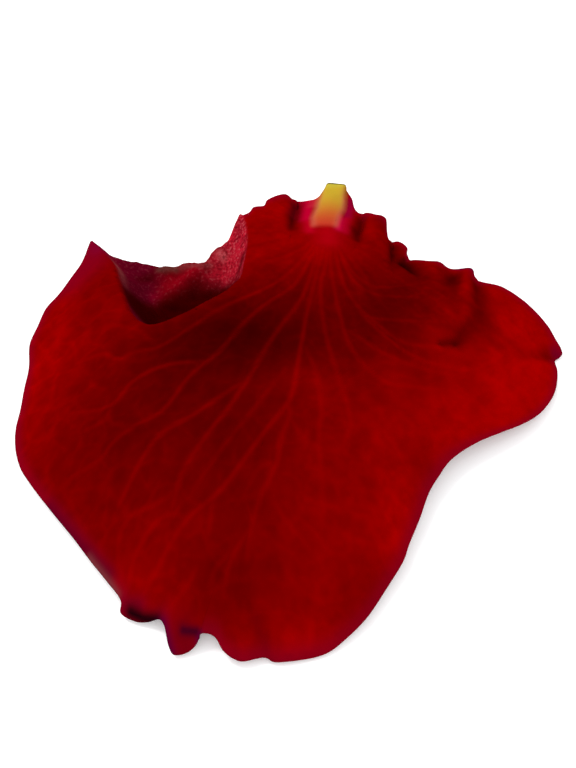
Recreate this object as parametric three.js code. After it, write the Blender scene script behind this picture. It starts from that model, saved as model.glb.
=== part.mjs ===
import * as THREE from "three";

// One cupped petal, lying on a flat surface with its domed outer side up.
// X runs across the blade, Y from the blade's tip towards the claw, Z up from the surface.

// Driving sizes, in millimetres.
const BLADE_THICKNESS = 0.6;
const CLAW_THICKNESS = 1.4;
const CROWN = new THREE.Vector3(0, -2, 6.5); // the dome's middle, from which the mesh fans out
const DOME_POWER = 2; // how the dome falls off towards the margin
const CRIMP_REACH = 3; // how far a crimp of the margin runs into the blade
const CRIMP_SPREAD = THREE.MathUtils.degToRad(12); // narrower crimps aren't part of the dome
const DENT_WALL = 4; // plan width of the wall round the shoulder's dent
const DENT_ROUNDING = 0.6; // how far the edges of the wall are rounded
const SLOPE_SPAN = 0.3; // the blade's tilt is taken over twice this
const CLAW_HALF_WIDTHS = { base: 1.65, end: 0.95 };
const RAYS = 228; // mesh rays from the crown to the margin, two to each of its points
const BANDS = [
  // each inner band has half the rays of the one outside it
  { from: 1, to: 0.5, rings: 9 },
  { from: 0.5, to: 0.25, rings: 3 },
  { from: 0.25, to: 0.12, rings: 2 },
];

// The margin as it lies, anticlockwise from the claw's right-hand corner: x, y and height.
const MARGIN = {
  clawEnd: [
    [6.5, 29.1, 3.1],
    [6.4, 29.3, 3.1],
    [5.4, 29.5, 3.1],
    [4.4, 29.7, 3.1],
    [4.2, 29.5, 3.1],
  ],
  clawLeft: [
    [3.8, 28.2, 3.4],
    [3.3, 26.5, 3.8],
    [2.7, 25.5, 4.1],
  ],
  leftCrimps: [
    [1.6, 25.6, 4.3],
    [1.1, 26.1, 4.1],
    [0.6, 26.3, 3.6],
    [0.2, 25.6, 4.5],
    [-0.9, 25.3, 4.8],
    [-2.2, 24.8, 4.4],
    [-2.5, 23.7, 4.5],
    [-3.5, 22.9, 4.9],
    [-3.9, 21.7, 5.1],
    [-4.4, 21.1, 5.2],
  ],
  dentedShoulder: [
    [-4.8, 21.5, 5.1],
    [-5.15, 20.7, 5.1],
    [-5.9, 19.3, 5.1],
    [-6.5, 18.7, 5.1],
    [-7.4, 18.6, 5.1],
    [-8.5, 17.3, 5.1],
    [-9.8, 16.6, 5.1],
    [-11.2, 16.4, 5.1],
    [-12.4, 16.4, 5.1],
    [-14.3, 17.0, 5.1],
    [-16.0, 17.1, 5.1],
    [-17.4, 16.9, 5.1],
    [-18.4, 17.4, 5.1],
  ],
  leftLobe: [
    [-18.65, 17.0, 5.3],
    [-18.9, 16.0, 5.0],
    [-19.2, 14.2, 4.6],
    [-19.9, 13.0, 4.1],
    [-21.0, 11.6, 3.2],
    [-22.2, 10.3, 2.4],
    [-22.7, 8.7, 1.8],
    [-23.1, 7.0, 1.2],
    [-22.6, 4.5, 0.8],
    [-22.5, 2.4, 0.5],
    [-22.3, 0.3, 0.2],
    [-22.15, -1.35, 0.2],
    [-21.6, -3.4, 0.2],
    [-20.55, -5.4, 0.4],
    [-19.3, -6.9, 0.6],
    [-17.4, -8.9, 0.8],
    [-16.1, -10.2, 0.9],
    [-14.7, -11.6, 1.0],
    [-13.2, -13.2, 1.0],
    [-11.9, -14.5, 1.0],
  ],
  curledCorner: [
    [-10.8, -15.7, 1.0],
    [-10.8, -16.3, 0.4],
    [-9.8, -16.8, 0.3],
    [-8.9, -16.9, 0.5],
    [-8.1, -16.9, 1.0],
    [-7.8, -17.2, 1.0],
    [-7.4, -18.4, 0.5],
    [-7.1, -18.8, 0.3],
    [-6.3, -18.7, 0.3],
    [-5.7, -18.3, 0.6],
    [-5.4, -17.8, 1.2],
  ],
  tip: [
    [-4.6, -17.9, 1.1],
    [-3.95, -18.75, 0.9],
    [-2.9, -19.25, 0.6],
    [-1.4, -19.0, 0.6],
    [-0.9, -19.2, 0.4],
    [0.7, -19.1, 0.2],
    [2.4, -18.7, 0.2],
    [3.5, -18.0, 0.4],
    [5.0, -16.7, 0.6],
    [6.5, -14.8, 0.8],
    [7.8, -13.0, 0.9],
    [8.3, -11.9, 1.0],
    [9.2, -10.2, 1.2],
    [10.25, -8.0, 1.4],
    [11.1, -6.8, 1.5],
    [12.0, -5.65, 1.6],
    [13.0, -4.8, 1.6],
    [14.6, -3.8, 1.6],
    [16.9, -2.7, 1.4],
    [18.55, -1.9, 1.2],
    [20.4, -0.65, 0.9],
    [22.1, 1.2, 0.6],
    [23.1, 2.9, 0.4],
  ],
  rightLobe: [
    [23.8, 4.8, 0.2],
    [24.0, 6.0, 0.2],
    [24.75, 6.6, 0.5],
    [24.4, 7.8, 0.8],
    [23.9, 9.1, 1.3],
    [23.0, 10.3, 1.8],
    [21.9, 11.5, 2.3],
    [20.2, 12.8, 2.8],
    [18.3, 13.2, 3.5],
  ],
  rightShoulder: [
    [17.0, 13.5, 4.1],
    [16.4, 14.4, 3.6],
    [15.6, 14.7, 3.4],
    [14.6, 15.1, 3.9],
    [13.6, 15.9, 3.4],
    [12.3, 16.4, 3.2],
    [12.0, 16.8, 3.0],
  ],
  rightCrimps: [
    [11.9, 18.2, 2.6],
    [12.05, 19.1, 2.6],
    [11.3, 20.2, 2.6],
    [10.3, 20.0, 2.6],
    [10.0, 20.4, 3.6],
    [9.9, 21.1, 4.6],
    [9.0, 21.8, 4.6],
    [8.2, 22.4, 4.6],
    [7.5, 23.4, 3.7],
    [7.0, 24.9, 3.5],
  ],
  clawRight: [
    [6.9, 25.7, 3.9],
    [6.7, 26.8, 3.7],
    [6.5, 28.1, 3.5],
  ],
};

// The crest round the dent in the left shoulder. The blade drops behind it to a low shelf.
const DENT_CREST = [
  [-19.2, 17.3],
  [-17.1, 14.8],
  [-16.0, 13.2],
  [-15.2, 11.0],
  [-14.1, 8.3],
  [-13.1, 6.4],
  [-11.5, 4.9],
  [-10.4, 4.8],
  [-9.6, 5.1],
  [-8.2, 5.8],
  [-6.9, 6.8],
  [-5.4, 8.2],
  [-4.5, 9.4],
  [-3.9, 10.9],
  [-3.8, 12.4],
  [-3.6, 15.2],
  [-3.8, 18.6],
  [-4.6, 22.2],
];
const DENT_OUTSIDE = [
  [-5, 40],
  [-40, 40],
  [-40, 25],
];

// Ridges and creases: the ends in plan, the height (below zero for a crease), and the widths to the
// left and right of the line from the first end to the second, where the fold fades.
const FOLDS = [
  { name: "left pleat", from: [1.0, 24.2], to: [0.3, 17.8], height: -0.8, left: 1.1, right: 0.35 },
  { name: "right pocket", from: [7.7, 21.6], to: [6.5, 16.2], height: -0.9, left: 0.4, right: 0.8 },
  { name: "bulge", from: [9.0, 20.8], to: [8.3, 14.5], height: 0.5, left: 0.9, right: 0.9 },
  { name: "bulge crease", from: [10.2, 18.6], to: [9.5, 13.0], height: -0.8, left: 0.9, right: 0.35 },
  { name: "small lobe crease", from: [11.6, 16.6], to: [10.6, 14.2], height: -0.4, left: 0.5, right: 0.5 },
  { name: "shoulder pinch", from: [10.9, 15.1], to: [12.0, 12.0], height: -0.45, left: 0.6, right: 0.4 },
  { name: "margin ridge", from: [13.4, 14.4], to: [13.3, 9.5], height: 0.25, left: 0.7, right: 0.7 },
  { name: "margin crease", from: [15.4, 12.8], to: [14.0, 10.6], height: -0.35, left: 0.9, right: 0.6 },
  { name: "shoulder ridge", from: [16.9, 13.3], to: [15.0, 4.8], height: 0.4, left: 0.7, right: 0.7 },
  { name: "shoulder crease", from: [18.0, 12.0], to: [17.0, 7.6], height: -0.4, left: 0.9, right: 0.8 },
  { name: "long right crease", from: [12.4, 3.2], to: [16.9, 8.2], height: -0.4, left: 0.45, right: 0.9 },
  { name: "right tip crease", from: [24.3, 6.2], to: [18.6, 4.7], height: -0.3, left: 0.6, right: 0.6 },
  { name: "tip crease", from: [-1.0, -19.3], to: [-2.4, -15.9], height: -0.3, left: 0.8, right: 0.5 },
  { name: "front crease", from: [-3.4, -17.5], to: [-4.6, -9.5], height: -0.5, left: 1.3, right: 1.6 },
];

const CLAW_AXIS = { from: [3.8, 19], to: [5.4, 29.6] };

// The dent's floor slopes up from its lowest corner, behind the front wall, to the margin.
function dentFloor(x, y) {
  const slope = 0.1 + 0.4 * (y - 12) + 0.03 * (x + 12);
  const ridge = 0.6 * Math.exp(-((distanceToSegment(x, y, [-8.6, 16], [-11.5, 13]) / 1.1) ** 2));
  return Math.max(slope, 0.1) + ridge;
}

// How far along a line from one point to another the place nearest to x, y is: 0 to 1.
function placeOnSegment(x, y, [x0, y0], [x1, y1]) {
  const along = ((x - x0) * (x1 - x0) + (y - y0) * (y1 - y0)) / ((x1 - x0) ** 2 + (y1 - y0) ** 2);
  return THREE.MathUtils.clamp(along, 0, 1);
}

function distanceToSegment(x, y, from, to) {
  const k = placeOnSegment(x, y, from, to);
  return Math.hypot(x - from[0] - k * (to[0] - from[0]), y - from[1] - k * (to[1] - from[1]));
}

function isInside(x, y, polygon) {
  let inside = false;
  polygon.forEach(([x0, y0], i) => {
    const [x1, y1] = polygon[(i + 1) % polygon.length];
    const crosses = y0 > y !== y1 > y && x < x0 + ((x1 - x0) * (y - y0)) / (y1 - y0);
    if (crosses) inside = !inside;
  });
  return inside;
}

function smoothCurve(points, closed) {
  const vectors = points.map(([x, y, z = 0]) => new THREE.Vector3(x, y, z));
  return new THREE.CatmullRomCurve3(vectors, closed, "centripetal");
}

const crest = smoothCurve(DENT_CREST, false)
  .getPoints(4 * DENT_CREST.length)
  .map((p) => [p.x, p.y]);
const dentRegion = [...crest, ...DENT_OUTSIDE];

function wallShare(x, y) {
  const gap = Math.min(...crest.slice(1).map((end, i) => distanceToSegment(x, y, crest[i], end)));
  const past = isInside(x, y, dentRegion) ? gap : -gap;
  return THREE.MathUtils.smoothstep(past, -DENT_ROUNDING, DENT_WALL - DENT_ROUNDING);
}

// 0 on the blade's dome, rising to 1 on the floor of the dent. A mean over a small round spot
// keeps the wall smooth where the crest bends.
function dentShare(x, y) {
  const around = Array.from({ length: 8 }, (_, i) => (i * Math.PI) / 4);
  const shares = around.map((turn) =>
    wallShare(x + DENT_ROUNDING * Math.cos(turn), y + DENT_ROUNDING * Math.sin(turn)),
  );
  return (wallShare(x, y) + shares.reduce((sum, share) => sum + share, 0)) / 9;
}

function foldHeight(x, y) {
  const heights = FOLDS.map(({ from, to, height, left, right }) => {
    const side = (to[0] - from[0]) * (y - from[1]) - (to[1] - from[1]) * (x - from[0]);
    const gap = distanceToSegment(x, y, from, to) / (side > 0 ? left : right);
    const fade = 1 - 0.85 * THREE.MathUtils.smoothstep(placeOnSegment(x, y, from, to), 0.2, 1);
    return height * fade * Math.exp(-(gap ** 2));
  });
  return heights.reduce((sum, h) => sum + h, 0);
}

// Margin points, one for each mesh ray: their direction and distance from the crown, the length
// of margin that each stands for, and the height of its crimp.
function marginRays() {
  const curve = smoothCurve(Object.values(MARGIN).flat(), true);
  const points = Array.from({ length: RAYS }, (_, i) => curve.getPoint(i / RAYS));
  const rays = points.map((point, i) => {
    const next = points[(i + 1) % RAYS];
    const last = points[(i + RAYS - 1) % RAYS];
    const bearing = Math.atan2(point.y - CROWN.y, point.x - CROWN.x);
    const reach = Math.hypot(point.x - CROWN.x, point.y - CROWN.y);
    return { point, bearing, reach, length: next.distanceTo(last) };
  });
  return rays.map((ray) => {
    const crimp = ray.point.z - domeHeight(ray.point.x, ray.point.y, rays);
    return { ...ray, crimp, broadReach: broadMargin(ray.bearing, rays).reach };
  });
}

function weightedMean(rays, weights, valueOf) {
  const total = rays.reduce((sum, ray, i) => sum + weights[i] * valueOf(ray), 0);
  return total / weights.reduce((sum, w) => sum + w, 0);
}

// The margin's height and distance in one direction from the crown, with its crimps smoothed out.
function broadMargin(bearing, rays) {
  const weights = rays.map((ray) => {
    const turn = Math.abs(bearing - ray.bearing);
    const apart = Math.min(turn, 2 * Math.PI - turn) / CRIMP_SPREAD;
    return ray.length * Math.exp(-(apart ** 2));
  });
  const lie = weightedMean(rays, weights, (ray) => ray.point.z);
  const reach = weightedMean(rays, weights, (ray) => ray.reach);
  return { lie, reach };
}

// The blade without crimps: it falls from the crown to the broad lie of the margin.
function domeHeight(x, y, rays) {
  const { lie, reach } = broadMargin(Math.atan2(y - CROWN.y, x - CROWN.x), rays);
  const fall = (Math.hypot(x - CROWN.x, y - CROWN.y) / reach) ** DOME_POWER;
  return CROWN.z + (lie - CROWN.z) * fall;
}

// The margin's crimps, widening and fading into the blade.
function crimpHeight(x, y, rays) {
  const gaps = rays.map(({ point }) => Math.hypot(x - point.x, y - point.y));
  const inset = Math.min(...gaps);
  const weights = rays.map((ray, i) => ray.length * Math.exp(-((gaps[i] / (0.35 + 0.6 * inset)) ** 2)));
  return weightedMean(rays, weights, (ray) => ray.crimp) * Math.exp(-inset / CRIMP_REACH);
}

function sheetHeight(x, y, rays) {
  const folded = domeHeight(x, y, rays) + crimpHeight(x, y, rays) + foldHeight(x, y);
  return THREE.MathUtils.lerp(folded, dentFloor(x, y), dentShare(x, y));
}

// A point of the sheet's middle surface, and the direction in which the blade is thick there. The
// inner rings follow the broad margin, and only the outer ones take up its notches.
function sheetPoint(ray, t, rays) {
  const radius = t * ray.broadReach + t ** 4 * (ray.reach - ray.broadReach);
  const x = CROWN.x + radius * Math.cos(ray.bearing);
  const y = CROWN.y + radius * Math.sin(ray.bearing);
  const slopeX = sheetHeight(x + SLOPE_SPAN, y, rays) - sheetHeight(x - SLOPE_SPAN, y, rays);
  const slopeY = sheetHeight(x, y + SLOPE_SPAN, rays) - sheetHeight(x, y - SLOPE_SPAN, rays);
  const normal = new THREE.Vector3(-slopeX, -slopeY, 2 * SLOPE_SPAN).normalize();
  return { place: new THREE.Vector3(x, y, sheetHeight(x, y, rays)), normal };
}

// Points and triangles of the sheet's middle surface, and the loop of its margin.
function fanSheet() {
  const rays = marginRays();
  const points = [];
  const triangles = [];
  const ringOf = (t, step) => {
    const used = rays.filter((_, i) => i % step === 0);
    return used.map((ray) => points.push(sheetPoint(ray, t, rays)) - 1);
  };
  let outer = ringOf(1, 1);
  const margin = outer;
  BANDS.forEach(({ from, to, rings }, band) => {
    for (let k = 1; k <= rings; k++) {
      const t = THREE.MathUtils.lerp(from, to, k / rings);
      const last = k === rings && band < BANDS.length - 1;
      const inner = ringOf(t, 2 ** (last ? band + 1 : band));
      triangles.push(...(last ? halvingStrip(outer, inner) : evenStrip(outer, inner)));
      outer = inner;
    }
  });
  const centre = points.push({ place: CROWN.clone(), normal: new THREE.Vector3(0, 0, 1) }) - 1;
  outer.forEach((a, i) => triangles.push([a, outer[(i + 1) % outer.length], centre]));
  return { points, triangles, margin };
}

function evenStrip(outer, inner) {
  return outer.flatMap((a, i) => {
    const j = (i + 1) % outer.length;
    return [
      [a, outer[j], inner[i]],
      [outer[j], inner[j], inner[i]],
    ];
  });
}

function halvingStrip(outer, inner) {
  return inner.flatMap((c, i) => {
    const a = outer[2 * i];
    const middle = outer[2 * i + 1];
    const b = outer[(2 * i + 2) % outer.length];
    const d = inner[(i + 1) % inner.length];
    return [
      [a, middle, c],
      [middle, b, d],
      [c, middle, d],
    ];
  });
}

// The claw thickens from the blade into a flat tapering stalk.
function thicknessAt({ x, y }) {
  const [x0, y0] = CLAW_AXIS.from;
  const [x1, y1] = CLAW_AXIS.to;
  const length = Math.hypot(x1 - x0, y1 - y0);
  const along = ((x - x0) * (x1 - x0) + (y - y0) * (y1 - y0)) / length ** 2;
  const across = ((x - x0) * (y1 - y0) - (y - y0) * (x1 - x0)) / length;
  const halfWidth = Math.max(THREE.MathUtils.lerp(CLAW_HALF_WIDTHS.base, CLAW_HALF_WIDTHS.end, along), 0.5);
  const body = Math.max(1 - (across / halfWidth) ** 4, 0);
  const swelling = body * THREE.MathUtils.smoothstep(along, -0.25, 0.25);
  return BLADE_THICKNESS + (CLAW_THICKNESS - BLADE_THICKNESS) * swelling;
}

// Both faces of the blade, split into the same triangles, and the narrow wall round its margin.
function petalGeometry() {
  const { points, triangles, margin } = fanSheet();
  const upper = [];
  const lower = [];
  points.forEach(({ place, normal }) => {
    const half = thicknessAt(place) / 2;
    const top = place.clone().addScaledVector(normal, half);
    const bottom = place.clone().addScaledVector(normal, -half);
    bottom.z = Math.max(bottom.z, 0); // low places rest flat on the surface
    top.z = Math.max(top.z, BLADE_THICKNESS);
    upper.push(top);
    lower.push(bottom);
  });
  const shift = points.length;
  const below = triangles.map(([a, b, c]) => [a + shift, c + shift, b + shift]);
  const wall = margin.flatMap((a, i) => {
    const b = margin[(i + 1) % margin.length];
    return [
      [a, b + shift, b],
      [a, a + shift, b + shift],
    ];
  });
  const geometry = new THREE.BufferGeometry().setFromPoints([...upper, ...lower]);
  geometry.setIndex([...triangles, ...below, ...wall].flat());
  geometry.computeVertexNormals();
  return geometry;
}

// Moves the origin to the bottom centre of the petal's box.
function centred(geometry) {
  geometry.computeBoundingBox();
  const { min, max } = geometry.boundingBox;
  return geometry.translate(-(min.x + max.x) / 2, -(min.y + max.y) / 2, -min.z);
}

const PETAL_RED = new THREE.MeshStandardMaterial({ color: 0x8a0206, roughness: 0.55, metalness: 0 });

const petal = new THREE.Mesh(centred(petalGeometry()), PETAL_RED);
petal.name = "petal";

const part = new THREE.Group();
part.add(petal);

export default part;
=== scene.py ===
"""Looks of one red Persian buttercup petal lying on a pale floor, domed side up."""

import math

import bpy
import numpy as np
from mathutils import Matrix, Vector


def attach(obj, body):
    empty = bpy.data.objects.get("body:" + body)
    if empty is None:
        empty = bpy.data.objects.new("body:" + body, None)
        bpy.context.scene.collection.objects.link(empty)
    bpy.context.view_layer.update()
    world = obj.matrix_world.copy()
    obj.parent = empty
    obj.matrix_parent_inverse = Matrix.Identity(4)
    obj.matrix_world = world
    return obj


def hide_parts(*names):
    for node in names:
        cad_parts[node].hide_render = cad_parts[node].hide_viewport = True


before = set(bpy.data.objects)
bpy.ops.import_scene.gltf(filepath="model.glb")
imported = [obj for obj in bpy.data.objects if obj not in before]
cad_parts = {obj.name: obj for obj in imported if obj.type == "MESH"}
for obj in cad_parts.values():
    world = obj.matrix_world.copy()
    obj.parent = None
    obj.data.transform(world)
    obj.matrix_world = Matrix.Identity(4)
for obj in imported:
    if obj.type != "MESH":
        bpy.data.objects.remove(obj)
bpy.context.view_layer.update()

# ---------------------------------------------------------------- driving sizes
# Drawing units are millimetres, in the part's own drawing: X across, Y towards the claw, Z up.
MM = 0.001
DRAWING_ORIGIN = (-0.778, -5.194)  # the drawing's origin in the part's frame

CROWN = (0.0, -2.0, 6.5)  # the dome's highest place, where the rays of the mesh start
DOME_POWER = 2.0  # of the fall from the crown to the margin
BLADE_THICKNESS = 0.3
EDGE_THICKNESS = 0.14
EDGE_TAPER = 0.6  # how far in from the margin the blade thickens
CLAW_THICKNESS = 1.2
CLAW_AXIS = ((3.8, 19.0), (5.4, 29.6))
CLAW_HALF_WIDTHS = (1.65, 1.2)  # where it leaves the blade, and at its cut end
CLAW_SWELLS = (-0.25, 0.25)  # shares of its length over which it thickens
CLAW_SQUARENESS = (2.0, 8.0)  # of its section: round at the blade, and how much squarer at the end
CLAW_SQUARED = (0.6, 1.0)  # shares of its length over which it turns square
LEAST_HEIGHT = 0.02  # of the petal's underside above the floor

CRIMP_REACH = 3.0  # how far in from the margin the crimps fade
CRIMP_SPREAD = 12.0  # degrees, seen from the crown; narrower crimps aren't part of the dome
CRIMP_BLUR = (0.35, 0.6)  # how far a crimp is smoothed at the margin, and more for each mm inwards
VEIN_HEIGHT = 0.03
VEIN_HALF_WIDTH = 0.19
VEIN_SEARCH = 0.8  # mesh points farther from a vein than this are left out of it
VEIN_FADE = 0.6  # share of a vein that is gone at its outer end
VEIN_RISE = 0.3  # how far along it a vein is at its plainest; it starts at half of that
FOLD_FADE = (0.2, 0.85)  # where a fold starts to fade, and the share that is gone at its far end

# Layers of bumps: size, height and seed.
BLADE_BUMPS = ((2.2, 0.06, 1), (0.8, 0.02, 2))
DENT_BUMPS = ((1.5, 0.25, 3), (0.6, 0.1, 4), (0.35, 0.05, 5))

# The dent: its walls' width, and its floor's lowest height, where the floor starts to rise and by
# how much for each mm in x and y, and the y and height of the small step at its lip.
DENT_WALL = 3.0
DENT_LOWEST = 0.35
DENT_START = (-12.0, 12.0)
DENT_RISE = (0.03, 0.4)
DENT_LIP = (15.5, 16.5)
DENT_LIP_HEIGHT = 0.15
DENT_RIDGE = [(-8.6, 16.0), (-11.5, 13.0)]
DENT_RIDGE_HALF_WIDTH = 1.1
DENT_RIDGE_HEIGHT = 0.6

RAYS = 800  # of the mesh, from the crown to the margin
RING_STEP = 0.01  # between rings, as a share of the way from the crown to the margin
# Bands of rings, from the margin inwards: the shares of that way where each starts and ends, and
# its number of rings. Each band has half as many rays as the one outside it.
BANDS = (
    (1.0, 0.6, 40),
    (0.6, 0.3, 30),
    (0.3, 0.15, 15),
    (0.15, 0.07, 8),
    (0.07, 0.03, 4),
    (0.03, 0.01, 2),
)
MARGIN_SAMPLES = 40  # between two points of the margin
LINE_SAMPLES = 4  # between two points of a vein or of the crest
CREST_PULL = 0.05  # mesh points this near to the crest are drawn on to it
CREST_PROBE = 0.02  # step along a ray that shows how squarely the ray meets the crest
CREST_CROSSING = 0.35  # least slope at which a ray counts as crossing the crest
LATTICE = 96  # cells on a side of the random patterns before they repeat
CELL_EDGE = 0.14  # half width of the edges in the network of cells
CELL_JITTER = (0.1, 0.9)  # where in its square of the lattice each cell's middle may lie
RIM_BATCHES = 40  # the mesh is set against the whole rim in this many parts, to spare memory
TINY = 1e-9

# The camera, in the drawing's millimetres, and the studio, in metres.
CAMERA_TARGET = (0.0, 0.0, 4.0)
CAMERA_DISTANCE = 45.0
CAMERA_ELEVATION = 50.0  # degrees
CAMERA_LENS = 27.0
CAMERA_SENSOR = 36.0
CAMERA_CLIP = (0.001, 10.0)  # metres
FLOOR_SIZE = 3.0
FLOOR_COLOUR = (0.97, 0.97, 0.98, 1)
FLOOR_ROUGHNESS = 0.9
FLOOR_GLOW = 0.14  # softens the shadow under the margin
ROOM_STRENGTH = 1.1
WINDOW_PLACE = (-0.22, 0.2, 0.35)
WINDOW_SIZE = 0.16
WINDOW_POWER = 1.0
WINDOW_COLOUR = (1, 0.98, 0.95)

# The margin as it lies, anticlockwise from the claw's right-hand corner: x, y and height.
MARGIN = {
    "claw end": [
        (6.5, 29.1, 3.1),
        (6.4, 29.3, 3.1),
        (5.4, 29.5, 3.1),
        (4.4, 29.7, 3.1),
        (4.2, 29.5, 3.1),
    ],
    "claw left": [(3.8, 28.2, 3.4), (3.3, 26.5, 3.8), (2.7, 25.5, 4.1)],
    "left crimps": [
        (1.6, 25.4, 4.1),
        (1.0, 25.7, 3.9),
        (0.6, 25.9, 3.5),
        (0.35, 25.5, 4.2),
        (0.15, 25.6, 4.6),
        (-0.9, 25.3, 4.8),
        (-2.2, 24.8, 4.4),
        (-2.5, 23.7, 4.5),
        (-3.5, 22.9, 4.9),
        (-3.9, 21.7, 5.1),
        (-4.4, 21.1, 5.2),
    ],
    "dented shoulder": [
        (-4.8, 21.5, 5.1),
        (-5.15, 20.7, 5.1),
        (-5.9, 19.3, 5.1),
        (-6.5, 18.7, 5.1),
        (-7.4, 18.3, 5.1),
        (-8.2, 16.8, 5.1),
        (-8.65, 16.4, 5.1),
        (-9.4, 16.75, 5.1),
        (-10.3, 16.65, 5.1),
        (-11.2, 16.35, 5.1),
        (-12.4, 16.4, 5.1),
        (-14.3, 17.0, 5.1),
        (-16.0, 17.1, 5.1),
        (-17.4, 16.9, 5.1),
        (-18.4, 17.4, 5.1),
    ],
    "left lobe": [
        (-18.65, 17.0, 5.3),
        (-18.9, 16.0, 5.0),
        (-19.2, 14.2, 4.6),
        (-19.9, 13.0, 4.1),
        (-21.0, 11.6, 3.2),
        (-22.2, 10.3, 2.4),
        (-22.7, 8.7, 1.8),
        (-23.1, 7.0, 1.2),
        (-22.6, 4.5, 0.8),
        (-22.5, 2.4, 0.5),
        (-22.3, 0.3, 0.2),
        (-22.15, -1.35, 0.2),
        (-21.6, -3.4, 0.2),
        (-20.55, -5.4, 0.4),
        (-19.3, -6.9, 0.6),
        (-17.4, -8.9, 0.8),
        (-16.1, -10.2, 0.9),
        (-14.7, -11.6, 1.0),
        (-13.2, -13.2, 1.0),
        (-11.9, -14.5, 1.0),
    ],
    "curled corner": [
        (-10.8, -15.7, 1.0),
        (-10.8, -16.3, 0.4),
        (-9.8, -16.8, 0.3),
        (-8.9, -16.9, 0.5),
        (-8.1, -16.9, 1.0),
        (-7.8, -17.2, 1.0),
        (-7.4, -18.4, 0.5),
        (-7.1, -18.8, 0.3),
        (-6.3, -18.7, 0.3),
        (-5.7, -18.3, 0.6),
        (-5.4, -17.8, 1.2),
    ],
    "tip": [
        (-4.6, -17.9, 1.1),
        (-3.95, -18.75, 0.9),
        (-2.9, -19.25, 0.6),
        (-1.4, -19.0, 0.6),
        (-0.9, -19.2, 0.4),
        (0.7, -19.1, 0.2),
        (2.4, -18.7, 0.2),
        (3.5, -18.0, 0.4),
        (5.0, -16.7, 0.6),
        (6.5, -14.8, 0.8),
        (7.8, -13.0, 0.9),
        (8.3, -11.9, 1.0),
        (9.2, -10.2, 1.2),
        (10.25, -8.0, 1.4),
        (11.1, -6.8, 1.5),
        (12.0, -5.65, 1.6),
        (13.0, -4.8, 1.6),
        (14.6, -3.8, 1.6),
        (16.9, -2.7, 1.4),
        (18.55, -1.9, 1.2),
        (20.4, -0.65, 0.9),
        (22.1, 1.2, 0.6),
        (23.1, 2.9, 0.4),
    ],
    "right lobe": [
        (23.8, 4.8, 0.2),
        (24.0, 6.0, 0.2),
        (24.5, 6.3, 0.4),
        (24.75, 6.55, 0.5),
        (24.7, 6.9, 0.6),
        (24.4, 7.8, 0.8),
        (23.9, 9.1, 1.3),
        (23.0, 10.3, 1.8),
        (21.9, 11.5, 2.3),
        (20.2, 12.8, 2.8),
        (18.4, 12.9, 3.4),
    ],
    "right shoulder": [
        (17.3, 13.1, 3.9),
        (17.25, 13.6, 4.15),
        (17.1, 13.95, 4.2),
        (16.4, 14.4, 3.75),
        (15.6, 14.7, 3.4),
        (15.05, 14.85, 3.55),
        (14.6, 15.1, 3.9),
        (13.6, 15.9, 3.4),
        (12.3, 16.4, 3.2),
        (12.0, 16.8, 3.0),
    ],
    "right crimps": [
        (11.9, 18.2, 2.6),
        (12.05, 19.1, 2.6),
        (11.3, 20.2, 2.6),
        (10.3, 20.0, 2.6),
        (10.0, 20.4, 3.6),
        (9.95, 20.9, 4.5),
        (9.9, 21.15, 4.6),
        (9.7, 21.3, 4.6),
        (9.0, 21.7, 4.6),
        (8.2, 22.4, 4.6),
        (7.5, 23.4, 3.7),
        (7.0, 24.9, 3.5),
    ],
    "claw right": [(6.9, 25.7, 3.9), (6.7, 26.8, 3.7), (6.5, 28.1, 3.5)],
}

# The crest round the dent in the left shoulder. The blade drops behind it to the dent's floor.
DENT_CREST = [
    (-19.2, 17.3),
    (-17.1, 14.8),
    (-16.0, 13.2),
    (-15.2, 11.0),
    (-14.1, 8.3),
    (-13.1, 6.4),
    (-11.5, 4.9),
    (-10.4, 4.8),
    (-9.6, 5.1),
    (-8.2, 5.8),
    (-6.9, 6.8),
    (-5.4, 8.2),
    (-4.5, 9.4),
    (-3.9, 10.9),
    (-3.8, 12.4),
    (-3.6, 15.2),
    (-3.8, 18.6),
    (-4.6, 22.2),
]
# These close the dent's side of the crest, off the petal.
DENT_OUTSIDE = [(-5, 40), (-40, 40), (-40, 25)]

# Ridges and creases, which fade from their first end to their second: the ends in plan, the height
# (below zero for a crease), the half widths to the left and right of the line seen from its first
# end, and how much painted shade darkens the colour in it (painted light below zero).
FOLDS = {
    "left pleat": ((0.8, 24.2), (0.2, 17.8), -0.8, 1.1, 0.45, 0.7),
    "right pocket": ((7.7, 21.6), (6.5, 16.2), -0.9, 0.4, 0.8, 0.7),
    "bulge": ((9.0, 20.8), (8.3, 14.5), 0.5, 0.9, 0.9, 0),
    "bulge crease": ((10.3, 18.6), (9.6, 13.0), -0.8, 0.9, 0.35, 0.9),
    "small lobe crease": ((11.6, 16.6), (10.6, 14.2), -0.4, 0.5, 0.5, 1.0),
    "shoulder pinch": ((10.9, 15.1), (12.0, 12.0), -0.45, 0.6, 0.4, 1.6),
    "margin ridge": ((13.4, 14.4), (13.3, 9.5), 0.25, 0.7, 0.7, -0.3),
    "margin crease": ((15.4, 12.8), (14.0, 10.6), -0.35, 0.9, 0.6, 0.9),
    "shoulder ridge": ((16.5, 13.3), (14.7, 4.8), 0.4, 0.6, 0.5, -0.35),
    "shoulder crease": ((17.4, 12.2), (16.6, 7.2), -0.4, 0.9, 0.6, 0.6),
    "crease foot": ((12.4, 3.5), (14.6, 4.4), -0.3, 0.3, 0.5, 0.7),
    "long right crease": ((13.8, 4.1), (16.6, 8.2), -0.35, 0.5, 0.8, 0.5),
    "right tip crease": ((24.2, 6.3), (19.0, 4.0), -0.25, 0.6, 0.6, 0.5),
    "tip crease": ((-1.0, -19.3), (-2.4, -15.9), -0.22, 1.0, 0.6, 0.3),
    "front crease": ((-3.4, -17.5), (-4.6, -9.5), -0.5, 1.3, 1.6, 0.0),
}

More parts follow.
